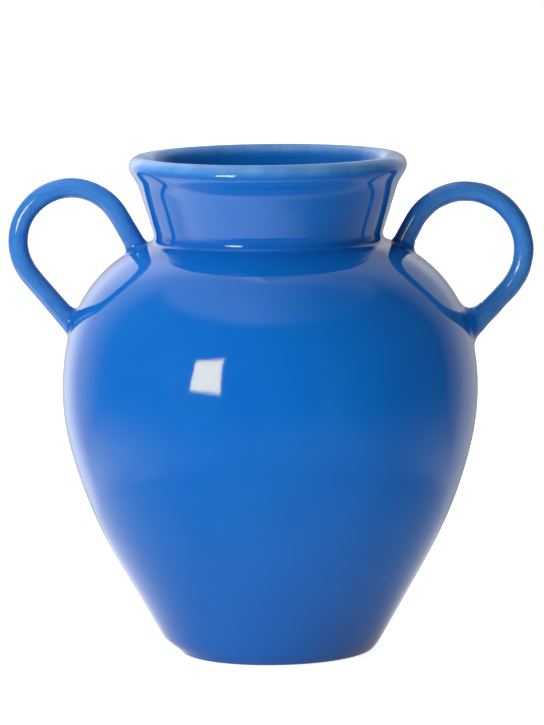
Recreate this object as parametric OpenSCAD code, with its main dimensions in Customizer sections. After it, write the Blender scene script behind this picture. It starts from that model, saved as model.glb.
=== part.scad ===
// Two-handled amphora vase in glazed earthenware.
// A thrown belly, a flared collar with a rolled rim, a foot ring, two coiled handles and the
// luting clay at every joint. Millimetres, +Z up, origin at the centre of the foot on the table.
// +X points to the right handle.

/* [Overall] */
// Height from the table to the top of the rim
overall_h = 300; // [296:1:304]
// Thickness of the belly wall
wall = 6.5; // [5.5:0.5:7.5]
// Colour of the glaze
glaze_colour = "#1f67bd"; // ["#1f67bd", "#2f8f83", "#b5532a", "#e9e4d8"]
// Colour of the bare clay under the foot
clay_colour = "#e8dcc8"; // ["#e8dcc8", "#c98a64"]

/* [Belly] */
// Widest diameter of the belly
belly_d = 250; // [244:1:256]
// Height of the widest point
belly_z = 160; // [157:1:163]
// Curve radius just above the widest point
upper_curve_r = 135; // [130:1:140]
// Turn of that curve, in degrees
upper_curve_turn = 15; // [13:0.5:17]
// Curve radius of the shoulder
shoulder_r = 77; // [75:0.5:79]
// Curve radius just below the widest point
lower_curve_r = 144; // [140:1:150]
// Turn of that curve, in degrees
lower_curve_turn = 13.5; // [12:0.5:15]
// Curve radius where the belly runs into its taper
taper_curve_r = 276; // [260:1:290]
// Slope of the taper above the foot, from vertical, in degrees
taper_angle = 29.8; // [28:0.2:31]
// Radius of the rounded edge round the base
base_edge_r = 6; // [5:0.5:8]

/* [Floor and foot] */
// Thickness of the floor over the foot recess
floor_t = 7; // [5:0.5:9]
// Rounding between the floor and the wall, inside
floor_fillet_r = 22; // [15:1:28]
// Width of the bare foot ring
foot_w = 11; // [8:1:14]
// Depth of the recess inside the foot ring
foot_recess = 3; // [2:0.5:4]
// How far the bare foot stands below the glaze
glaze_gap = 0.6; // [0.4:0.1:1]

/* [Neck and rim] */
// Height of the flat seat that the neck is luted to
seat_z = 246; // [245:0.5:247]
// Outside diameter of the neck's cone, taken at the seat
neck_d = 132.8; // [131:0.2:135]
// Flare of the neck, from vertical, in degrees
neck_flare = 17.5; // [16:0.5:19]
// Thickness of the neck wall
neck_wall = 6; // [5:0.5:7]
// Outside diameter of the rim
rim_d = 167; // [165:0.5:169]
// Thickness of the rolled rim
rim_roll_d = 13.5; // [12.5:0.5:14]
// Curve radius of the hollow under the rim
under_rim_r = 27; // [24:1:30]
// Curve radius of the hollow where the neck meets the shoulder
crease_r = 5; // [4:0.5:6]

/* [Handles] */
// Thickness of a handle round its loop
handle_d = 12; // [10:0.5:14]
// Thickness of a handle where it meets the belly
handle_root_d = 13; // [11:0.5:15]
// Radius of the left loop, to the middle of the coil
left_loop_r = 32.3; // [30:0.1:34]
// Distance of the left loop's centre from the vase's axis
left_loop_x = 118.2; // [116:0.1:120]
// Height of the left loop's centre
left_loop_z = 249; // [246:0.5:252]
// Slope of the left handle's upper end, from horizontal, in degrees
left_upper_slope = 61; // [56:1:66]
// Slope of the left handle's lower end, from horizontal, in degrees
left_lower_slope = 50; // [46:1:54]
// Radius of the right loop, to the middle of the coil
right_loop_r = 35.2; // [33:0.1:37]
// Distance of the right loop's centre from the vase's axis
right_loop_x = 117.9; // [116:0.1:120]
// Height of the right loop's centre
right_loop_z = 241.5; // [239:0.5:244]
// Slope of the right handle's upper end, from horizontal, in degrees
right_upper_slope = 63; // [58:1:68]
// Slope of the right handle's lower end, from horizontal, in degrees
right_lower_slope = 46; // [43:1:50]

/* [Luting clay] */
// Curve radius of the clay pressed round each handle end
luting_r = 4; // [3:0.5:5]
// Thickness of its upper edge on the handle
luting_edge = 1.6; // [1.4:0.1:2]

/* [Hidden] */
$fn = 128;
// Furthest that a straight step of an outline may lie from its true arc
chord_error = 0.05;

// Unit vector at an angle above horizontal, in the [radius, height] plane of the outlines
function ray(a) = [cos(a), sin(a)];

// Points along an arc, without its last one
function arc(c, r, from, to) =
    let (steps = ceil(abs(to - from) / (2 * acos(1 - chord_error / r))))
    [for (i = [0:steps - 1]) c + r * ray(from + (to - from) * i / steps)];

// Where the line from p along the unit vector d crosses a circle; side picks the first or last
function line_circle(p, d, c, r, side) =
    let (q = p - c, b = q * d, s = sqrt(b * b - q * q + r * r))
    p + (side * s - b) * d;

// The belly's outline is four arcs, each tangent to the next, then a straight taper
lower_turn = -lower_curve_turn;
upper_c = [belly_d / 2 - upper_curve_r, belly_z];
shoulder_c = upper_c + (upper_curve_r - shoulder_r) * ray(upper_curve_turn);
lower_c = [belly_d / 2 - lower_curve_r, belly_z];
taper_c = lower_c + (lower_curve_r - taper_curve_r) * ray(lower_turn);

// Centre of the rounded edge that joins the taper to a floor at height z
function edge_centre(z, r, inset) =
    let (p = taper_c + (taper_curve_r - inset) * ray(-taper_angle))
    [p.x + (z + r - p.y) * tan(taper_angle) - r / cos(taper_angle), z + r];

// Half section of the belly, inset from its outer surface, from a floor up to an angle of the shoulder
function belly_outline(inset, z, edge_r, top) =
    let (edge_c = edge_centre(z, edge_r, inset))
    concat(
        [[0, z]],
        arc(edge_c, edge_r, -90, -taper_angle),
        [edge_c + edge_r * ray(-taper_angle)],
        arc(taper_c, taper_curve_r - inset, -taper_angle, lower_turn),
        arc(lower_c, lower_curve_r - inset, lower_turn, 0),
        arc(upper_c, upper_curve_r - inset, 0, upper_curve_turn),
        arc(shoulder_c, shoulder_r - inset, upper_curve_turn, top),
        [shoulder_c + (shoulder_r - inset) * ray(top)],
        [[0, shoulder_c.y + (shoulder_r - inset) * sin(top)]]
    );

// The neck's outer surface is one cone between two hollows
cone_dir = ray(90 - neck_flare);
cone_out = ray(-neck_flare);
cone_p = [neck_d / 2, seat_z];
roll_r = rim_roll_d / 2;
roll_c = [rim_d / 2 - roll_r, overall_h - roll_r];
crease_c = line_circle(cone_p + crease_r * cone_out, cone_dir, shoulder_c, shoulder_r + crease_r, 1);
crease_top = crease_c - crease_r * cone_out;
crease_turn = atan2(crease_c.y - shoulder_c.y, crease_c.x - shoulder_c.x);
under_rim_c = line_circle(cone_p + under_rim_r * cone_out, cone_dir, roll_c, roll_r + under_rim_r, -1);
under_rim_turn = atan2(roll_c.y - under_rim_c.y, roll_c.x - under_rim_c.x);

// The neck is socketed in the shoulder. Its bore is a cone, and two opposite arcs carry it in to a
// second cone of the same flare, which meets the rolled rim.
seat_turn = asin((seat_z - shoulder_c.y) / shoulder_r);
socket_r = neck_d / 2;
socket_depth = 3.5;
socket_z = seat_z - socket_depth;
bore_foot = cone_p - neck_wall * cone_out + (socket_z - cone_p.y) * [tan(neck_flare), 1];
bore_curve_r = 60;
lip_cone_h = 8;
bore_top = roll_c - roll_r * cone_out;
bore_step = (bore_foot - bore_top) * cone_out;
bore_turn = acos(1 - bore_step / (2 * bore_curve_r));
bore_turn_a = 180 - neck_flare + bore_turn;
lip_curve_c = bore_top - lip_cone_h * cone_dir + bore_curve_r * cone_out;
bore_curve_c = lip_curve_c + 2 * bore_curve_r * ray(bore_turn_a);

// Where the floor and the foot ring sit: the ring is let into the floor, just inside the rounded edge
floor_z = foot_recess + floor_t;
foot_inset = 1.5;
foot_r = edge_centre(0, base_edge_r, 0).x - foot_inset;
foot_bed = 1;
foot_seat = foot_recess + foot_bed;

// A handle is [centre of its loop, radius, slope of its upper end, slope of its lower end]
left_handle = [[left_loop_x, left_loop_z], left_loop_r, left_upper_slope, left_lower_slope];
right_handle = [[right_loop_x, right_loop_z], right_loop_r, right_upper_slope, right_lower_slope];

// Angle round the loop at which an end leaves it: side is 1 for the upper end, -1 for the lower
function end_angle(h, side) = side > 0 ? 90 + h[2] : h[3] - 90;
function end_point(h, side) = h[0] + h[1] * ray(end_angle(h, side));
function end_dir(h, side) = side * ray(end_angle(h, side) + 90);
function root(h, side) = line_circle(end_point(h, side), end_dir(h, side), shoulder_c, shoulder_r, -1);

// Steps of the swept handles: along an end, round a loop, and round the coil
end_steps = 6;
loop_steps = 36;
sides = 28;

// Stations along an end, as [centre, angle of the section, radius], from the loop to inside the wall
function end_stations(h, side) =
    let (p = end_point(h, side), reach = norm(root(h, side) - p) + handle_root_d)
    [for (i = [1:end_steps])
        let (t = i / end_steps)
        [p + t * reach * end_dir(h, side), end_angle(h, side), coil_radius(t)]];
function coil_radius(t) = (handle_d + (handle_root_d - handle_d) * t * t * (3 - 2 * t)) / 2;

function loop_stations(h) =
    let (from = end_angle(h, -1), to = end_angle(h, 1))
    [for (i = [0:loop_steps])
        let (a = from + (to - from) * i / loop_steps)
        [h[0] + h[1] * ray(a), a, handle_d / 2]];

function reversed(list) = [for (i = [len(list) - 1:-1:0]) list[i]];

module body() {
    color(glaze_colour)
        rotate_extrude()
            difference() {
                polygon(belly_outline(0, 0, base_edge_r, seat_turn));
                polygon(belly_outline(wall, floor_z, floor_fillet_r, 90));
                translate([0, belly_z])
                    square([socket_r, overall_h - belly_z]);
                square([belly_d, glaze_gap]);
                square([foot_r, foot_recess]);
                translate([foot_r - foot_w, 0])
                    square([foot_w, foot_seat]);
            }
}

module foot_ring() {
    color(clay_colour)
        rotate_extrude()
            translate([foot_r - foot_w, 0])
                square([foot_w, foot_seat]);
}

module neck() {
    color(glaze_colour)
        rotate_extrude()
            difference() {
                polygon(concat(
                    [[0, socket_z], [socket_r, socket_z], [socket_r, crease_top.y], crease_top],
                    arc(under_rim_c, under_rim_r, 180 - neck_flare, under_rim_turn),
                    [under_rim_c + under_rim_r * ray(under_rim_turn), roll_c, bore_top, [0, bore_top.y]]
                ));
                bore();
                translate(roll_c)
                    circle(roll_r);
            }
}

// Half section of the neck's bore, from below the socket to the top of the rim
module bore() {
    polygon(concat(
        [[0, 0], [bore_foot.x, 0], bore_foot],
        arc(bore_curve_c, bore_curve_r, -neck_flare, bore_turn - neck_flare),
        arc(lip_curve_c, bore_curve_r, bore_turn_a, 180 - neck_flare),
        [bore_top - lip_cone_h * cone_dir, bore_top, [bore_top.x, overall_h], [0, overall_h]]
    ));
}

module rim() {
    color(glaze_colour)
        rotate_extrude()
            translate(roll_c)
                circle(roll_r);
}

// Coil of soft clay pressed into the corner between the neck and the shoulder
module neck_luting() {
    color(glaze_colour)
        rotate_extrude()
            polygon(concat(
                [[socket_r, seat_z]],
                arc(shoulder_c, shoulder_r, seat_turn, crease_turn),
                arc(crease_c, crease_r, crease_turn + 180, 180 - neck_flare),
                [crease_top, [socket_r, crease_top.y]]
            ));
}

// Round bar swept through a list of stations, which run up the handle from its lower end
module coil(stations) {
    last = len(stations) - 1;
    points = [for (s = stations) for (j = [0:sides - 1])
        let (a = 360 * j / sides, p = s[0] + s[2] * cos(a) * ray(s[1]))
        [p.x, s[2] * sin(a), p.y]];
    walls = [for (i = [0:last - 1]) for (j = [0:sides - 1])
        let (k = (j + 1) % sides)
        [i * sides + j, (i + 1) * sides + j, (i + 1) * sides + k, i * sides + k]];
    first_cap = [for (j = [0:sides - 1]) j];
    last_cap = [for (j = [sides - 1:-1:0]) last * sides + j];
    polyhedron(points, concat(walls, [first_cap, last_cap]));
}

module handle(h) {
    color(glaze_colour)
        difference() {
            coil(concat(reversed(end_stations(h, -1)), loop_stations(h), end_stations(h, 1)));
            rotate_extrude()
                polygon(belly_outline(0, 0, base_edge_r, 90));
        }
}

module handle_left() {
    mirror([1, 0, 0])
        handle(left_handle);
}

module handle_right() {
    handle(right_handle);
}

// Flared collar of clay round one end of a handle, leaning half way to the shoulder's own normal
module luting(h, side) {
    p = root(h, side);
    lean = (p - shoulder_c) / shoulder_r - end_dir(h, side);
    top_r = handle_root_d / 2 + luting_edge;
    color(glaze_colour)
        difference() {
            translate([p.x, 0, p.y])
                rotate([0, atan2(lean.x, lean.y), 0])
                    rotate_extrude()
                        difference() {
                            translate([0, -luting_r])
                                square([top_r + luting_r, 2 * luting_r]);
                            translate([top_r + luting_r, luting_r])
                                circle(luting_r);
                        }
            coil(side > 0 ? end_stations(h, side) : reversed(end_stations(h, side)));
            rotate_extrude()
                polygon(belly_outline(0, 0, base_edge_r, 90));
        }
}

module luting_left_upper() {
    mirror([1, 0, 0])
        luting(left_handle, 1);
}

module luting_left_lower() {
    mirror([1, 0, 0])
        luting(left_handle, -1);
}

module luting_right_upper() {
    luting(right_handle, 1);
}

module luting_right_lower() {
    luting(right_handle, -1);
}

body();
foot_ring();
neck();
rim();
neck_luting();
handle_left();
handle_right();
luting_left_upper();
luting_left_lower();
luting_right_upper();
luting_right_lower();
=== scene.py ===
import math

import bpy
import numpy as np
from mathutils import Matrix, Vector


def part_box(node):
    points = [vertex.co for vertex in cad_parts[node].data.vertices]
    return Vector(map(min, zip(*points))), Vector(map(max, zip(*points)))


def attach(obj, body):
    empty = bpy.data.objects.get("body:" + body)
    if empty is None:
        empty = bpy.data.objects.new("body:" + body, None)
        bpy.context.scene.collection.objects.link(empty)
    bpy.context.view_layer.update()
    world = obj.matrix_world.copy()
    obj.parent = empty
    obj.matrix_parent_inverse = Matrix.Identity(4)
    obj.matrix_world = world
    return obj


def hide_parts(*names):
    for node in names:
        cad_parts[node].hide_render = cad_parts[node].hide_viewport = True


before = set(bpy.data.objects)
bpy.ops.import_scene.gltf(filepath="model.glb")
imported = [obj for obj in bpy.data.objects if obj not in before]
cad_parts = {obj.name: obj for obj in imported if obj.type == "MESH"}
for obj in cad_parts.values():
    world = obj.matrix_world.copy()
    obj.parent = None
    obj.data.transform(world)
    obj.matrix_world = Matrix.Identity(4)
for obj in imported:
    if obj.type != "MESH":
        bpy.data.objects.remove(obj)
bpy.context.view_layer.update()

# A two-handled amphora in glossy blue glaze. Every piece is a closed mesh built round the CAD model:
# the turned pieces share one smoothed outline, the handles are swept coils, and the luting clay is a
# fillet between each handle end and the shoulder. Lengths are in metres. Angles are in radians, except
# in the handles' shapes and the studio, where they are in degrees.

MM = 0.001
rng = np.random.default_rng(7)

# ---------------------------------------------------------------- outline of the turned pieces

LEAST_LEAN = 0.02


def rings(node, side):
    """The rings of a CAD node's outer (side 1) or inner (side -1) wall as [radius, height], lowest first."""
    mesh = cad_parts[node].data
    found = {}
    for face in mesh.polygons:
        out = Vector((face.center.x, face.center.y, 0)).normalized()
        if side * face.normal.dot(out) > LEAST_LEAN:
            for i in face.vertices:
                co = mesh.vertices[i].co
                found[round(co.z, 6)] = math.hypot(co.x, co.y)
    return np.array([[found[z], z] for z in sorted(found)])


def arc(centre, radius, start, end, step):
    """Points on an arc between two angles, a step or less apart."""
    count = max(2, math.ceil(abs(end - start) * radius / step))
    angles = np.linspace(start, end, count + 1)
    return np.array(centre) + radius * np.column_stack([np.cos(angles), np.sin(angles)])


def along(points):
    """Distance along a line of points, at each point."""
    return np.r_[0, np.cumsum(np.linalg.norm(np.diff(points, axis=0), axis=1))]


def resample(points, step):
    """The same line of points, evenly spaced."""
    s = along(points)
    even = np.linspace(0, s[-1], max(2, math.ceil(s[-1] / step)) + 1)
    return np.column_stack([np.interp(even, s, column) for column in points.T])


def soften(points, reach):
    """The same evenly spaced line with its corners eased over about that distance; its ends stay put."""
    step = along(points)[-1] / (len(points) - 1)
    half = math.ceil(3 * reach / step)
    weights = np.exp(-0.5 * (np.arange(-half, half + 1) * step / reach) ** 2)
    weights /= weights.sum()
    before = 2 * points[0] - points[half:0:-1]
    after = 2 * points[-1] - points[-2:-half - 2:-1]
    padded = np.vstack([before, points, after])
    return np.column_stack([np.convolve(column, weights, "valid") for column in padded.T])


FINE = 0.25 * MM
SEAM_GAP = 0.1 * MM
rim_low, rim_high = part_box("rim")
_, foot_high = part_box("foot_ring")
ROLL_R = (rim_high.z - rim_low.z) / 2
ROLL_C = np.array([rim_high.x - ROLL_R, rim_high.z - ROLL_R])

body_out = rings("body", 1)
body_out = body_out[body_out[:, 0] > foot_high.x]
luting_out = rings("neck_luting", 1)
neck_out = rings("neck", 1)
neck_out = neck_out[neck_out[:, 1] > luting_out[-1, 1]]
neck_out = neck_out[neck_out[:, 0] >= np.maximum.accumulate(neck_out[:, 0])]
neck_in = rings("neck", -1)
neck_in = neck_in[np.linalg.norm(neck_in - ROLL_C, axis=1) > ROLL_R + SEAM_GAP]
body_in = rings("body", -1)
body_in = body_in[(body_in[:, 1] > foot_high.z) & (body_in[:, 1] < neck_in[0, 1])]

roll_start = math.atan2(*(neck_out[-1] - ROLL_C)[::-1])
lip_slope = math.atan2(*(neck_in[-1] - neck_in[-2]))
roll = arc(ROLL_C, ROLL_R, roll_start, math.pi - lip_slope, FINE)

# The glaze's lower edge curls under towards the foot ring
GLAZE_EDGE_R = 0.5 * MM
GLAZE_EDGE_END = -0.6
glaze_foot = arc(
    body_out[0] + [-GLAZE_EDGE_R, GLAZE_EDGE_R], GLAZE_EDGE_R, -math.pi / 2, GLAZE_EDGE_END, FINE / 2,
)

# How far each stretch of the outline is eased; the glaze and the potter's fingers round it most under the lip
BELLY_EASE = 4 * MM
EASE = 0.7 * MM
UNDER_LIP_EASE = 2.2 * MM
UNDER_LIP_SPAN = 5 * MM

belly = soften(resample(body_out, FINE), BELLY_EASE)
outside = np.vstack([glaze_foot, belly[2:], luting_out[1:], neck_out, roll[1:]])
inside = np.vstack([neck_in[::-1], body_in[::-1], [[0, body_in[0, 1]]]])
raw_line = resample(np.vstack([outside, inside]), FINE)
under_lip = np.argmin(np.linalg.norm(raw_line - neck_out[-1], axis=1)) * FINE
near_lip = np.exp(-(((along(raw_line) - under_lip) / UNDER_LIP_SPAN) ** 2))[:, None]
LINE = (1 - near_lip) * soften(raw_line, EASE) + near_lip * soften(raw_line, UNDER_LIP_EASE)
LINE[:, 0] = np.maximum(LINE[:, 0], 0)
LINE_S = along(LINE)


def at_height(z, inner=False):
    """Distance along the outline where it passes a height, outside or inside."""
    top = np.argmax(LINE[:, 1])
    part = slice(top, None) if inner else slice(0, top)
    order = -1 if inner else 1
    return float(np.interp(z, LINE[part][::order, 1], LINE_S[part][::order]))


# ---------------------------------------------------------------- hand-made irregularity

class Waves:
    """A smooth random height over (distance along, angle round): a few long waves, seeded."""

    def __init__(self, count, length, height, most_lobes):
        self.k = 2 * math.pi / rng.uniform(*length, count)
        self.n = rng.integers(0, most_lobes + 1, count)
        self.phase = rng.uniform(0, 2 * math.pi, (2, count))
        self.height = height * rng.uniform(0.5, 1, count) / math.sqrt(count)

    def __call__(self, s, angle):
        s, angle = np.broadcast_arrays(s, angle)
        total = np.zeros(s.shape)
        for k, n, p, q, h in zip(self.k, self.n, *self.phase, self.height):
            total += h * np.sin(k * s + p) * np.cos(n * angle + q)
        return total


# The thrown wall's long unevenness and its faint ripple, and a dent low on the left where it was lifted
body_waves = Waves(14, (45 * MM, 160 * MM), 0.16 * MM, 7)
body_ripple = Waves(18, (14 * MM, 40 * MM), 0.022 * MM, 22)
FOOT_DENT = 3.8 * MM
FOOT_DENT_REACH = 13 * MM
EVEN_BELOW_R = 30 * MM


def skin(s, angle):
    """Points of the glazed surface at distances along the outline and angles round the vase."""
    s, angle = np.broadcast_arrays(np.asarray(s, float), np.asarray(angle, float))
    r = np.interp(s, LINE_S, LINE[:, 0])
    z = np.interp(s, LINE_S, LINE[:, 1])
    rise = body_waves(s, angle) + body_ripple(s, angle)
    rise = rise * np.clip(r / EVEN_BELOW_R, 0, 1)
    left = np.clip(-np.cos(angle), 0, 1) ** 3
    low = np.clip(1 - s / FOOT_DENT_REACH, 0, 1) ** 2
    r = r + rise - FOOT_DENT * left * low * (3 - 2 * low)
    return np.stack([r * np.cos(angle), r * np.sin(angle), z], -1)


def skin_normal(s, angle, h=0.4 * MM, turn=0.01):
    """Outward unit normals of the glazed surface, from its neighbours at those distances and angles."""
    s, angle = np.broadcast_arrays(np.asarray(s, float), np.asarray(angle, float))
    ds = skin(np.minimum(s + h, LINE_S[-1]), angle) - skin(np.maximum(s - h, 0), angle)
    da = skin(s, angle + turn) - skin(s, angle - turn)
    n = np.cross(da, ds)
    length = np.linalg.norm(n, axis=-1, keepdims=True)
    return n / np.maximum(length, 1e-12)


# ---------------------------------------------------------------- mesh building

def make_piece(name, points, faces, normals=None, attributes=None):
    """A smooth mesh object. Normals of zero length are left to Blender."""
    mesh = bpy.data.meshes.new(name)
    mesh.from_pydata(points.tolist(), [], faces)
    mesh.validate()
    mesh.shade_smooth()
    for key, (kind, field, values) in (attributes or {}).items():
        layer = mesh.attributes.new(key, kind, "POINT")
        layer.data.foreach_set(field, np.asarray(values, np.float32).ravel())
    if normals is not None:
        mesh.normals_split_custom_set_from_vertices(normals.tolist())
    piece = bpy.data.objects.new(name, mesh)
    bpy.context.scene.collection.objects.link(piece)
    return piece


def grid_faces(rows, columns, close_rows, flip=False):
    """Quads over a grid that is closed round its columns and, if asked, from its last row to its first."""
    faces = []
    for i in range(rows if close_rows else rows - 1):
        a, b = i * columns, (i + 1) % rows * columns
        for j in range(columns):
            k = (j + 1) % columns
            quad = (a + j, a + k, b + k, b + j)
            faces.append(quad[::-1] if flip else quad)
    return faces


COLUMNS = 288
AROUND = np.linspace(0, 2 * math.pi, COLUMNS, endpoint=False)


def stations(s0, s1, step, turn):
    """Distances along the outline between two of them, closer together where it turns."""
    fine = np.linspace(s0, s1, max(8, int(abs(s1 - s0) / FINE)))
    xy = np.column_stack([np.interp(fine, LINE_S, c) for c in LINE.T])
    heading = np.unwrap(np.arctan2(*np.gradient(xy, axis=0).T[::-1]))
    cost = np.r_[0, np.cumsum(np.abs(np.diff(fine)) / step + np.abs(np.diff(heading)) / turn)]
    return np.interp(np.linspace(0, cost[-1], math.ceil(cost[-1]) + 1), cost, fine)


# The glaze is thinnest where the outline bends outward at LIP_BEND_R or tighter, on faces that look up:
# the upward part of their normal runs from THICK_BELOW to THIN_ABOVE. A bend below FLAT_BEND of that
# counts as flat, and the glaze evens out over about GLAZE_FLOW.
LIP_BEND_R = 8 * MM
FLAT_BEND = 0.15
GLAZE_FLOW = 1.8 * MM
THICK_BELOW, THIN_ABOVE = -0.25, 0.6


def smooth_step(t):
    """0 to 1 as t goes from 0 to 1, level at both ends."""
    t = np.clip(t, 0, 1)
    return t * t * (3 - 2 * t)


def thinness(s):
    """How thin the glaze lies, by the outline's curvature: 1 on the lip, below 0 in a crease."""
    heading = np.unwrap(np.arctan2(*np.gradient(LINE, axis=0).T[::-1]))
    bend = np.gradient(heading, LINE_S) * LIP_BEND_R
    looks_up = smooth_step((-np.cos(heading) - THICK_BELOW) / (THIN_ABOVE - THICK_BELOW))
    bend = np.where(bend > 0, bend * looks_up, bend)
    reach = math.ceil(5 * GLAZE_FLOW / FINE)
    pull = np.exp(-0.5 * (np.arange(-reach, reach + 1) * FINE / GLAZE_FLOW) ** 2)
    bend = np.convolve(np.pad(bend, reach, "edge"), pull / pull.sum(), "valid")
    bend = np.sign(bend) * np.maximum(np.abs(bend) - FLAT_BEND, 0) / (1 - FLAT_BEND)
    return np.clip(np.interp(s, LINE_S, bend), -1, 1)


def turned(name, parts):
    """A closed turned piece. Each part is ("skin", distances) or ("hidden", [[radius, height], ...])."""
    points, normals, thin_and_sheen, brush = [], [], [], []
    for kind, data in parts:
        if kind == "skin":
            s = np.asarray(data)
            grid = skin(s[:, None], AROUND[None, :])
            points.append(grid)
            normals.append(skin_normal(s[:, None], AROUND[None, :]))
            thin_and_sheen.append(np.repeat(thinness(s)[:, None], COLUMNS, 1))
            round_way, up_way = np.broadcast_arrays(AROUND[None, :], s[:, None])
            brush.append(np.stack([round_way, up_way, 0 * up_way], -1))
        else:
            rz = np.asarray(data, float)
            grid = np.stack([
                rz[:, :1] * np.cos(AROUND), rz[:, :1] * np.sin(AROUND), rz[:, 1:] + 0 * AROUND,
            ], -1)
            points.append(grid)
            normals.append(0 * grid)
            thin_and_sheen.append(np.zeros(grid.shape[:2]))
            brush.append(0 * grid)
    points, normals, thin_and_sheen, brush = (np.concatenate(x) for x in (points, normals, thin_and_sheen, brush))
    rows = len(points)
    faces = grid_faces(rows, COLUMNS, True)
    return make_piece(
        name, points.reshape(-1, 3), faces, normals.reshape(-1, 3),
        {"thin_and_sheen": ("FLOAT", "value", thin_and_sheen), "brush": ("FLOAT_VECTOR", "vector", brush)},
    )


# Where one turned piece ends and the next begins, as distances along the outline
seat = luting_out[0]
socket_r, socket_z = body_in[-1][0], neck_in[0, 1]
s_seat = at_height(seat[1])
s_crease = at_height(luting_out[-1, 1])
s_roll = float(LINE_S[np.argmin(np.linalg.norm(LINE - neck_out[-1], axis=1))])
s_bore = at_height(roll[-1][1], inner=True)
s_socket = at_height(socket_z, inner=True)
POLE = 0.4 * MM
BED = 1 * MM
HIDDEN_STEP = 0.4 * MM
FOOT_W = 11 * MM
recess_z = foot_high.z - BED
foot_in = foot_high.x - FOOT_W

pieces = {}
pieces["body"] = turned("glazed_belly", [
    ("skin", stations(0, s_seat, 2.2 * MM, math.radians(4))),
    ("hidden", [[seat[0] - BED, seat[1] - HIDDEN_STEP], [socket_r, seat[1] - HIDDEN_STEP]]),
    ("skin", stations(s_socket, LINE_S[-1] - POLE, 5 * MM, math.radians(5))),
    ("hidden", [
        [POLE, recess_z], [foot_in, recess_z], [foot_in, foot_high.z],
        [foot_high.x, foot_high.z], [foot_high.x, LINE[0, 1]],
    ]),
])
pieces["neck_luting"] = turned("neck_joint_clay", [
    ("skin", stations(s_seat, s_crease, 0.8 * MM, math.radians(2.5))),
    ("hidden", [[socket_r, luting_out[-1, 1]], [socket_r, seat[1]]]),
])
pieces["neck"] = turned("glazed_neck", [
    ("skin", stations(s_crease, s_roll, 1.2 * MM, math.radians(3))),
    ("hidden", [ROLL_C]),
    ("skin", stations(s_bore, s_socket, 2 * MM, math.radians(4))),
    ("hidden", [[socket_r, socket_z], [socket_r, luting_out[-1, 1]]]),
])
pieces["rim"] = turned("rolled_rim", [
    ("skin", stations(s_roll, s_bore, 0.8 * MM, math.radians(2.5))),
    ("hidden", [ROLL_C - ROLL_R / 2]),
])


# ---------------------------------------------------------------- handles

HANDLE_R = 6 * MM
ROOT_R = 6.6 * MM
ROOT_LENGTH = 30 * MM
ROOT_DEPTH = 5 * MM
BEND_EASE = 3.5 * MM
SIDES = 56
COIL_STEP = 1.1 * MM
# The handles' glaze is pale all round where it lies thin. On top of that it is painted paler on the crests
# that face front and back (painted sheen) and deeper on the coil's two sides (painted shade).
SIDE_THIN_AND_SHADE, CREST_THIN_AND_SHEEN = 0.16, 0.60
HALVINGS = 40

# Each handle bends round a loop, and its two ends leave the loop that many degrees from level
HANDLES = {
    "left": {"side": -1, "loop_r": 32.3 * MM, "upper": 61, "lower": 50},
    "right": {"side": 1, "loop_r": 35.2 * MM, "upper": 63, "lower": 46},
}


def ray(degrees):
    """The unit direction at an angle above level."""
    return np.array([math.cos(math.radians(degrees)), math.sin(math.radians(degrees))])


# The shoulder seen from a point inside it, as a distance for each direction, to find where things meet it
HUB = np.array([0.6 * seat[0], seat[1] - 0.95 * seat[0]])
SHOULDER_BELOW_HUB = 30 * MM
on_shoulder = (LINE_S > at_height(HUB[1] - SHOULDER_BELOW_HUB)) & (LINE_S < s_crease)
shoulder, shoulder_s = LINE[on_shoulder], LINE_S[on_shoulder]
shoulder_way = np.arctan2(*(shoulder - HUB).T[::-1])
shoulder_reach = np.linalg.norm(shoulder - HUB, axis=1)


def above_skin(points):
    """How far points lie outside the shoulder, and the distance along the outline below them."""
    rz = np.stack([np.hypot(points[..., 0], points[..., 1]), points[..., 2]], -1) - HUB
    way = np.arctan2(rz[..., 1], rz[..., 0])
    height = np.linalg.norm(rz, axis=-1) - np.interp(way, shoulder_way, shoulder_reach)
    return height, np.interp(way, shoulder_way, shoulder_s)


def meets_skin(start, way, reach=60 * MM):
    """How far each point travels along a direction before it meets the shoulder."""
    low, high = np.zeros(len(start)), np.full(len(start), reach)
    for _ in range(HALVINGS):
        middle = (low + high) / 2
        outside_still = above_skin(start + middle[:, None] * way)[0] > 0
        low, high = np.where(outside_still, middle, low), np.where(outside_still, high, middle)
    return low


def spread(rz, side):
    """A point or direction of the handles' plane, given as [outward, up], in the object's frame."""
    rz = np.asarray(rz, float)
    return np.stack([side * rz[..., 0], 0 * rz[..., 0], rz[..., 1]], -1)


def handle_path(name):
    """The handle's middle line from inside its lower root to inside its upper one, and its two roots."""
    spec = HANDLES[name]
    low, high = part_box(f"handle_{name}")
    outermost = max(abs(low.x), abs(high.x))
    radius = spec["loop_r"]
    centre = np.array([outermost - radius - HANDLE_R, high.z - radius - HANDLE_R])
    ends = {"lower": (spec["lower"] - 90, -1), "upper": (90 + spec["upper"], 1)}
    roots, inner = {}, {}
    for key, (angle, turn) in ends.items():
        leaves = centre + radius * ray(angle)
        way = turn * ray(angle + 90)
        reach = meets_skin(spread(leaves, 1)[None], spread(way, 1))[0]
        roots[key] = {"point": leaves + reach * way, "way": way}
        inner[key] = leaves + (reach + ROOT_DEPTH) * way
    loop = arc(centre, radius, *(math.radians(ends[k][0]) for k in ("lower", "upper")), FINE)
    line = np.vstack([inner["lower"], loop, inner["upper"]])
    return soften(resample(line, 2 * FINE), BEND_EASE), roots


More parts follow.
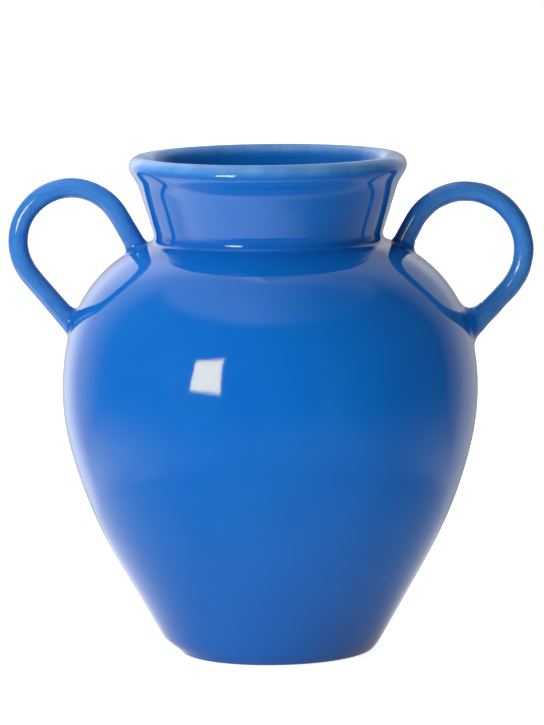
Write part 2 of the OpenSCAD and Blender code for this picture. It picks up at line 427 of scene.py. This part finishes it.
def coil(name, path, side):
    """A hand-rolled coil along a path in the handles' plane."""
    s = along(path)
    keep = np.linspace(0, s[-1], math.ceil(s[-1] / COIL_STEP))
    centre = np.column_stack([np.interp(keep, s, c) for c in path.T])
    tangent = np.gradient(centre, axis=0)
    tangent /= np.linalg.norm(tangent, axis=1)[:, None]
    outward = np.column_stack([tangent[:, 1], -tangent[:, 0]])
    ends = np.minimum(keep, s[-1] - keep) / ROOT_LENGTH
    swell = (ROOT_R - HANDLE_R) * np.clip(1 - ends, 0, 1) ** 2
    angle = np.linspace(0, 2 * math.pi, SIDES, endpoint=False)
    waves = Waves(12, (12 * MM, 60 * MM), 0.20 * MM, 3)
    r = HANDLE_R + swell[:, None] + waves(keep[:, None], angle[None, :])
    rz = centre[:, None] + (r * np.cos(angle))[..., None] * outward[:, None]
    points = spread(rz, side)
    points[..., 1] = r * np.sin(angle)
    faces = grid_faces(len(keep), SIDES, False, flip=side < 0)
    caps = [tuple(range(SIDES)), tuple(range(len(keep) * SIDES - 1, (len(keep) - 1) * SIDES - 1, -1))]
    faces += [cap[::-side] for cap in caps]
    # Painted sheen on the crests facing front and back and painted shade on the coil's sides, over the
    # handle's thin glaze
    thin_and_sheen = SIDE_THIN_AND_SHADE + (CREST_THIN_AND_SHEEN - SIDE_THIN_AND_SHADE) * np.sin(angle)[None, :] ** 2 + 0 * r
    brush = np.stack([keep[:, None] / (40 * MM) + 0 * r, angle[None, :] / 2 + 0 * r, 0 * r], -1)
    return make_piece(name, points.reshape(-1, 3), faces, None, {
        "thin_and_sheen": ("FLOAT", "value", thin_and_sheen), "brush": ("FLOAT_VECTOR", "vector", brush),
    })


handle_roots = {}
for key, spec in HANDLES.items():
    path, handle_roots[key] = handle_path(key)
    pieces[f"handle_{key}"] = coil(f"coil_handle_{key}", path, spec["side"])


# ---------------------------------------------------------------- luting clay at the handle ends

LUTING_SIDES = 112
LUTING_STEPS = 12
FILLET_PULL = 0.6
TUCK = 1.5 * MM
SKIN_DEPTH = 0.3 * MM
CORNER_DEPTH = 1 * MM
THIN_TOP, THIN_HOLLOW = 0.5, -0.6


def luting(name, root, side, spread_by, bias):
    """A fillet between a handle end and the shoulder, closed inside the clay.

    spread_by is how far it climbs the handle and spreads on the shoulder; bias lengthens its outer side."""
    angle = np.linspace(0, 2 * math.pi, LUTING_SIDES, endpoint=False)
    way = spread(root["way"], 1)
    across = np.array([0.0, 1.0, 0.0])
    outer = np.cross(way, across)
    rim_way = np.cos(angle)[:, None] * across + np.sin(angle)[:, None] * outer
    start = spread(root["point"], 1) - ROOT_LENGTH * way + ROOT_R * rim_way
    corner = start + meets_skin(start, way)[:, None] * way
    reach = spread_by * (1 + bias * np.sin(angle)) * (1 + Waves(6, (1, 2), 0.12, 5)(0 * angle, angle))
    top = corner - reach[:, None] * way
    _, s = above_skin(corner)
    _, s_root = above_skin(spread(root["point"], 1))
    corner_r = np.hypot(corner[:, 0], corner[:, 1])
    around = np.arctan2(corner[:, 1], corner[:, 0])
    out_s, out_a = s - s_root, around * corner_r
    size = np.hypot(out_s, out_a)

    def on_skin(distance):
        """Points that far from the corner along the shoulder, away from the root."""
        a = around + distance * out_a / size / corner_r
        p = skin(s + distance * out_s / size, math.pi - a if side < 0 else a)
        p[:, 0] *= side
        return p

    foot, nearer = on_skin(reach), on_skin(reach - 2 * FINE)
    inward = (nearer - foot) / np.linalg.norm(nearer - foot, axis=1)[:, None]
    pull_top = top + FILLET_PULL * reach[:, None] * way
    pull_foot = foot + FILLET_PULL * reach[:, None] * inward
    rows = [top - TUCK * way]
    for t in np.linspace(0, 1, LUTING_STEPS + 1):
        rows.append((1 - t) ** 3 * top + 3 * t * (1 - t) ** 2 * pull_top
                    + 3 * t * t * (1 - t) * pull_foot + t ** 3 * foot)
    rows.append(on_skin(reach + TUCK))
    grid = np.array(rows)
    ds = grid[2:] - grid[:-2]
    da = np.roll(grid, -1, axis=1)[1:-1] - np.roll(grid, 1, axis=1)[1:-1]
    normal = np.cross(da, ds)
    normal /= np.linalg.norm(normal, axis=-1, keepdims=True)
    seen = grid[1:-1]
    sunk_foot = seen[-1] - SKIN_DEPTH * normal[-1]
    deep = corner + TUCK * way - CORNER_DEPTH * rim_way
    sunk_top = seen[0] - SKIN_DEPTH * normal[0]
    points = np.concatenate([seen, [sunk_foot, deep, sunk_top]])
    normals = np.concatenate([normal, 0 * points[:3]])
    points[..., 0] *= side
    normals[..., 0] *= side
    faces = grid_faces(len(points), LUTING_SIDES, True, flip=side < 0)
    across_fillet = np.interp(np.linspace(0, 1, len(seen)), [0, 0.5, 1], [THIN_TOP, THIN_HOLLOW, 0])
    thin_and_sheen = np.concatenate([across_fillet, np.zeros(3)])[:, None] + 0 * angle
    brush = np.stack([0 * thin_and_sheen, angle[None, :] + 0 * thin_and_sheen, 0 * thin_and_sheen], -1)
    return make_piece(name, points.reshape(-1, 3), faces, normals.reshape(-1, 3), {
        "thin_and_sheen": ("FLOAT", "value", thin_and_sheen), "brush": ("FLOAT_VECTOR", "vector", brush),
    })


# How far each luting spreads, and its bias
LUTINGS = {
    ("left", "upper"): (3.4 * MM, 0.1),
    ("left", "lower"): (4.0 * MM, -0.2),
    ("right", "upper"): (4.2 * MM, 0.3),
    ("right", "lower"): (8.5 * MM, -0.4),
}
for (key, end), (spread_by, bias) in LUTINGS.items():
    node = f"luting_{key}_{end}"
    pieces[node] = luting(f"clay_{node}", handle_roots[key][end], HANDLES[key]["side"], spread_by, bias)


# ---------------------------------------------------------------- foot ring

FOOT_EDGE_R = 0.8 * MM
foot_edges = [
    arc([foot_high.x - FOOT_EDGE_R, FOOT_EDGE_R], FOOT_EDGE_R, -math.pi / 2, 0, FOOT_EDGE_R / 4),
    arc([foot_in + FOOT_EDGE_R, FOOT_EDGE_R], FOOT_EDGE_R, -math.pi, -math.pi / 2, FOOT_EDGE_R / 4),
]
pieces["foot_ring"] = turned("bare_foot_ring", [
    ("hidden", foot_edges[0]),
    ("hidden", [[foot_high.x, foot_high.z], [foot_in, foot_high.z]]),
    ("hidden", foot_edges[1]),
])


# ---------------------------------------------------------------- materials

WHITE = (1, 1, 1, 1)
BLACK = (0, 0, 0, 1)
TO_DEGREES = 180 / math.pi


class Tree:
    """The nodes of a material or world, with a short call for each kind that this scene uses."""

    def __init__(self, owner):
        owner.use_nodes = True
        self.nodes = owner.node_tree.nodes
        self.links = owner.node_tree.links

    def feed(self, inputs, values):
        """Link each named or numbered input to another node's output, or set it to a constant."""
        for key, value in values.items():
            if isinstance(value, bpy.types.NodeSocket):
                self.links.new(value, inputs[key])
            else:
                inputs[key].default_value = value

    def node(self, kind, values, output=0):
        node = self.nodes.new(kind)
        self.feed(node.inputs, values)
        return node.outputs[output]

    def place(self, kind="Object"):
        return self.node("ShaderNodeTexCoord", {}, kind)

    def camera_ray(self):
        return self.node("ShaderNodeLightPath", {}, "Is Camera Ray")

    def attribute(self, name, output="Fac"):
        node = self.nodes.new("ShaderNodeAttribute")
        node.attribute_name = name
        return node.outputs[output]

    def split(self, vector):
        node = self.nodes.new("ShaderNodeSeparateXYZ")
        self.feed(node.inputs, {0: vector})
        return node.outputs

    def noise(self, vector, scale, detail=2.0, roughness=0.5):
        values = {"Vector": vector, "Scale": scale, "Detail": detail, "Roughness": roughness}
        return self.node("ShaderNodeTexNoise", values, "Fac")

    def bump(self, height, strength, distance):
        values = {"Height": height, "Strength": strength, "Distance": distance}
        return self.node("ShaderNodeBump", values, "Normal")

    def ramp(self, value, from_range, to_range):
        """A smooth step between the two numbers of to_range as the value crosses from_range."""
        node = self.nodes.new("ShaderNodeMapRange")
        node.interpolation_type = "SMOOTHSTEP"
        keys = ("Value", "From Min", "From Max", "To Min", "To Max")
        self.feed(node.inputs, dict(zip(keys, (value, *from_range, *to_range))))
        return node.outputs["Result"]

    def mix(self, amount, first, second):
        """A colour between two others."""
        node = self.nodes.new("ShaderNodeMix")
        node.data_type = "RGBA"
        self.feed(node.inputs, {"Factor": amount, 6: first, 7: second})
        return node.outputs[2]

    def maths(self, operation, first, *rest):
        """The operation worked through all the values, two at a time."""
        for value in rest or [None]:
            node = self.nodes.new("ShaderNodeMath")
            node.operation = operation
            self.feed(node.inputs, {0: first} if value is None else {0: first, 1: value})
            first = node.outputs[0]
        return first

    def add(self, *values):
        return self.maths("ADD", *values)

    def times(self, *values):
        return self.maths("MULTIPLY", *values)

    def most(self, *values):
        return self.maths("MAXIMUM", *values)

    def azimuth(self, x, y):
        """Direction round the vase in degrees: 0 is in front, positive to the right."""
        return self.times(self.maths("ARCTAN2", x, self.times(y, -1.0)), TO_DEGREES)


def new_material(name):
    """A material, its node tree and the inputs of its shader."""
    material = bpy.data.materials.new(name)
    tree = Tree(material)
    return material, tree, tree.nodes["Principled BSDF"].inputs


GLAZE = (0.0040, 0.117, 0.450, 1)
GLAZE_DEEP = (0.0036, 0.111, 0.434, 1)
# Pale glaze where it lies thin, also used for the painted sheen on the handles' crests
GLAZE_THIN_AND_SHEEN = (0.095, 0.270, 0.560, 1)
GLAZE_POOL = (0.0030, 0.100, 0.420, 1)
GLAZE_IOR = 1.5
POOLING = 0.9
CLAY = (0.62, 0.52, 0.40, 1)
CLAY_PALE = (0.74, 0.65, 0.53, 1)


def glaze_material():
    """Glossy glaze: paler where it lies thin and as a painted sheen on the handles' front and back crests,
    deeper where it pools, and a little uneven all over.
    """
    material, tree, shader = new_material("blue_glaze")
    place = tree.place()
    thin_and_sheen = tree.attribute("thin_and_sheen")
    cloud = tree.ramp(tree.noise(place, 28, 4), (0.35, 0.65), (0, 1))
    streak = tree.ramp(tree.noise(tree.attribute("brush", "Vector"), 6, 5, 0.6), (0.3, 0.7), (0.6, 1))
    patch = tree.ramp(tree.noise(place, 90, 3), (0.3, 0.7), (0.75, 1))
    base = tree.mix(cloud, GLAZE, GLAZE_DEEP)
    # Paler where the glaze lies thin, and a painted sheen on the handles' crests
    base = tree.mix(tree.most(tree.times(thin_and_sheen, streak, patch), 0.0), base, GLAZE_THIN_AND_SHEEN)
    base = tree.mix(tree.most(tree.times(thin_and_sheen, -POOLING), 0.0), base, GLAZE_POOL)
    tree.feed(shader, {
        "Base Color": base,
        "Roughness": tree.ramp(tree.noise(place, 60, 3), (0.3, 0.7), (0.04, 0.07)),
        "IOR": GLAZE_IOR,
        "Normal": tree.bump(tree.noise(place, 240, 2), 0.03, 0.4 * MM),
    })
    return material


def clay_material():
    """Dry, grainy fired clay."""
    material, tree, shader = new_material("bare_clay")
    place = tree.place()
    grain = tree.noise(place, 900, 5, 0.65)
    blotch = tree.ramp(tree.noise(place, 45, 3), (0.3, 0.7), (0, 1))
    tree.feed(shader, {
        "Base Color": tree.mix(blotch, CLAY, CLAY_PALE),
        "Roughness": tree.ramp(grain, (0.3, 0.7), (0.7, 0.95)),
        "Normal": tree.bump(grain, 0.5, 0.2 * MM),
    })
    return material


glaze, clay = glaze_material(), clay_material()
for node, piece in pieces.items():
    bare = node == "foot_ring"
    piece.data.materials.append(clay if bare else glaze)
    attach(piece, "root")
    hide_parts(node)


# ---------------------------------------------------------------- studio

FLOOR_SIZE = 12
FLOOR_GREY = 0.85
TABLE_R = 0.36
TABLE_FADE_R = 0.28
TABLE_FRONT = 0.2


def glow_material(name, colour):
    """A black material that only gives light; how strong is left to its Emission Strength."""
    material, tree, shader = new_material(name)
    tree.feed(shader, {"Base Color": BLACK, "Specular IOR Level": 0.0, "Emission Color": colour})
    return material, tree, shader


def stage_floor():
    """A plain pale floor that the camera sees as white; the glaze mirrors the table card instead."""
    bpy.ops.mesh.primitive_plane_add(size=FLOOR_SIZE)
    floor = bpy.context.object
    floor.name = "studio_floor"
    material, tree, shader = new_material("pale_floor")
    tree.feed(shader, {
        "Base Color": (FLOOR_GREY, FLOOR_GREY, FLOOR_GREY, 1),
        "Roughness": 0.9,
        "Specular IOR Level": 0.0,
        "Emission Color": WHITE,
        "Emission Strength": tree.times(tree.camera_ray(), FLOOR_GREY),
    })
    floor.data.materials.append(material)
    floor.visible_glossy = False


def table_level(tree, azimuth):
    """How bright the table looks in the glaze: dim in front, brighter at the sides, most on the left."""
    left = tree.ramp(azimuth, (-135, -38), (1.1, 0))
    far_left = tree.ramp(azimuth, (-178, -140), (-0.5, 0))
    right = tree.ramp(azimuth, (70, 150), (0, 0.6))
    return tree.add(left, far_left, right, TABLE_FRONT)


def table_card():
    """The table top as the glaze mirrors it: a little brighter close to the foot, gone at its edge."""
    bpy.ops.mesh.primitive_circle_add(vertices=96, radius=TABLE_R, fill_type="NGON", location=(0, 0, -2 * MM))
    card = bpy.context.object
    card.name = "table_card"
    material, tree, shader = glow_material("table_glow", WHITE)
    x, y, _ = tree.split(tree.place())
    far = tree.maths("SQRT", tree.add(tree.times(x, x), tree.times(y, y)))
    near_foot = tree.ramp(far, (0.09, 0.30), (0.22, 0))
    tree.feed(shader, {
        "Emission Strength": tree.add(table_level(tree, tree.azimuth(x, y)), near_foot),
        "Alpha": tree.ramp(far, (TABLE_FADE_R, TABLE_R), (1, 0)),
    })
    card.data.materials.append(material)
    card.visible_camera = card.visible_diffuse = card.visible_shadow = False


def studio_world():
    """Bright overhead and behind, dim in front; the camera sees plain white.

    Each ramp runs over an angle in degrees, or over the x or y of the direction."""
    world = bpy.data.worlds.new("studio")
    bpy.context.scene.world = world
    tree = Tree(world)
    x, y, z = tree.split(tree.place("Generated"))
    azimuth = tree.azimuth(x, y)
    elevation = tree.times(tree.maths("ARCSINE", z), TO_DEGREES)
    overhead = tree.times(tree.ramp(elevation, (44, 54), (0, 1)), tree.add(
        tree.ramp(x, (-0.32, 0.48), (0.85, 0.12)),
        tree.ramp(azimuth, (80, 120), (0, 0.35)),
        tree.ramp(azimuth, (140, 180), (0, -0.35)),
    ))
    left_back = tree.times(tree.ramp(elevation, (-60, -10), (0.65, 1)), tree.add(
        tree.ramp(azimuth, (-178, -150), (-1.35, 0)),
        tree.ramp(azimuth, (-148, -128), (0.75, 0)),
        tree.ramp(azimuth, (-132, -98), (1.0, 0)),
    ))
    right_back = tree.add(
        tree.ramp(azimuth, (108, 126), (0, 0.42)),
        tree.ramp(azimuth, (124, 138), (0, 0.33)),
        tree.ramp(azimuth, (152, 172), (0, -0.35)),
    )
    backdrop = tree.times(tree.ramp(elevation, (0, 20), (0, 0.6)), tree.ramp(y, (0.80, 0.93), (0, 1)))
    ground = tree.times(tree.ramp(elevation, (-26, -4), (1, 0)), table_level(tree, azimuth))
    left_glow = tree.ramp(azimuth, (-130, 0), (0.15, 0.01))
    right_glow = tree.ramp(azimuth, (50, 112), (0, 0.05))
    steep = tree.add(elevation, tree.ramp(azimuth, (-90, -30), (-9, 0)))
    white_floor = tree.times(
        tree.ramp(steep, (-40.2, -36.5), (1, 0)),
        tree.ramp(azimuth, (-40, 70), (1.45, 0.30)),
        tree.ramp(y, (0.15, 0.45), (1, 0)),
    )
    behind = tree.add(tree.most(left_back, right_back), backdrop)
    below = tree.add(left_glow, right_glow, ground, white_floor)
    tree.feed(tree.nodes["Background"].inputs, {
        "Color": WHITE,
        "Strength": tree.most(overhead, behind, below, tree.camera_ray()),
    })


VASE_MIDDLE = 0.16
MOUTH = 0.28


def placed(thing, azimuth, elevation, distance, aim_z):
    """Put a light in a direction from a height on the vase's axis, and turn it to face that."""
    a, e = math.radians(azimuth), math.radians(elevation)
    way = Vector((math.sin(a) * math.cos(e), -math.cos(a) * math.cos(e), math.sin(e)))
    thing.location = Vector((0, 0, aim_z)) + distance * way
    thing.rotation_euler = (-way).to_track_quat("-Z", "Y").to_euler()


def fill_light(name, azimuth, elevation, distance, width, height, luminance, aim_z=VASE_MIDDLE):
    """An area light that lights the clay but shows no reflection."""
    data = bpy.data.lights.new(name, "AREA")
    data.shape = "RECTANGLE"
    data.size, data.size_y = width, height
    data.energy = luminance * math.pi * width * height
    lamp = bpy.data.objects.new(name, data)
    bpy.context.scene.collection.objects.link(lamp)
    placed(lamp, azimuth, elevation, distance, aim_z)
    lamp.visible_camera = lamp.visible_glossy = False


# The softbox hangs askew: its corners as shares of its size, from low left, anticlockwise
KEY_CORNERS = np.array([[-0.50, -0.50], [0.59, -0.565], [0.565, 0.435], [-0.335, 0.29]])
KEY_CELLS = 40
KEY_COLOUR = (1.0, 0.85, 0.30, 1)
KEY_SIDE_EDGE = 1.8


def key_softbox(azimuth, elevation, distance, width, height, luminance):
    """The softbox that the belly mirrors: a panel whose light dies away at its ragged edges."""
    u = np.linspace(0, 1, KEY_CELLS + 1)
    across, up = np.meshgrid(u, u)
    low = KEY_CORNERS[0] + across[..., None] * (KEY_CORNERS[1] - KEY_CORNERS[0])
    high = KEY_CORNERS[3] + across[..., None] * (KEY_CORNERS[2] - KEY_CORNERS[3])
    flat = (low + up[..., None] * (high - low)) * [width, height]
    points = np.concatenate([flat, 0 * across[..., None]], -1).reshape(-1, 3)
    n = KEY_CELLS + 1
    faces = [
        (i * n + j, (i + 1) * n + j, (i + 1) * n + j + 1, i * n + j + 1)
        for i in range(KEY_CELLS) for j in range(KEY_CELLS)
    ]
    inset = np.minimum(np.minimum(across, 1 - across) * KEY_SIDE_EDGE, np.minimum(up, 1 - up))
    mesh = bpy.data.meshes.new("key_softbox")
    mesh.from_pydata(points.tolist(), [], faces)
    mesh.attributes.new("inset", "FLOAT", "POINT").data.foreach_set("value", inset.ravel().astype(np.float32))
    panel = bpy.data.objects.new("key_softbox", mesh)
    bpy.context.scene.collection.objects.link(panel)
    placed(panel, azimuth, elevation, distance, VASE_MIDDLE)
    material, tree, shader = glow_material("softbox_cloth", KEY_COLOUR)
    ragged = tree.times(tree.noise(tree.place(), 26, 6, 0.8), -0.70)
    fade = tree.ramp(tree.add(tree.attribute("inset"), ragged), (-0.30, -0.20), (0, 1))
    tree.feed(shader, {"Emission Strength": tree.times(fade, luminance)})
    mesh.materials.append(material)
    panel.visible_camera = panel.visible_diffuse = False


stage_floor()
table_card()
studio_world()

# Azimuth, elevation, distance, width, height and luminance of each light
key_softbox(-36, 12.2, 2.0, 0.62, 0.76, 18)
fill_light("left_fill", -50, 9, 2.0, 0.6, 0.6, 17.8)
fill_light("low_fill", -38, -3, 1.2, 0.6, 0.22, 9.4)
fill_light("top_fill", -25, 55, 1.2, 0.5, 0.5, 5.2)
fill_light("right_fill", 29, -5, 0.40, 0.10, 0.28, 3.4)
fill_light("mouth_fill", -75, 50, 0.15, 0.10, 0.10, 2.6, aim_z=MOUTH)

CAMERA_DISTANCE = 2.980
CAMERA_HEIGHT = 0.552
AIM = Vector((1.2 * MM, 0, 174.3 * MM))
LENS = 247.9
SENSOR_WIDTH = 36
ROLL_DEGREES = -0.65

camera_data = bpy.data.cameras.new("camera")
camera_data.lens = LENS
camera_data.sensor_width = SENSOR_WIDTH
camera = bpy.data.objects.new("camera", camera_data)
bpy.context.scene.collection.objects.link(camera)
camera.location = (0, -CAMERA_DISTANCE, CAMERA_HEIGHT)
look = (AIM - camera.location).to_track_quat("-Z", "Y").to_matrix()
camera.rotation_euler = (look @ Matrix.Rotation(math.radians(ROLL_DEGREES), 3, "Z")).to_euler()
bpy.context.scene.camera = camera
bpy.context.scene.view_settings.view_transform = "Standard"
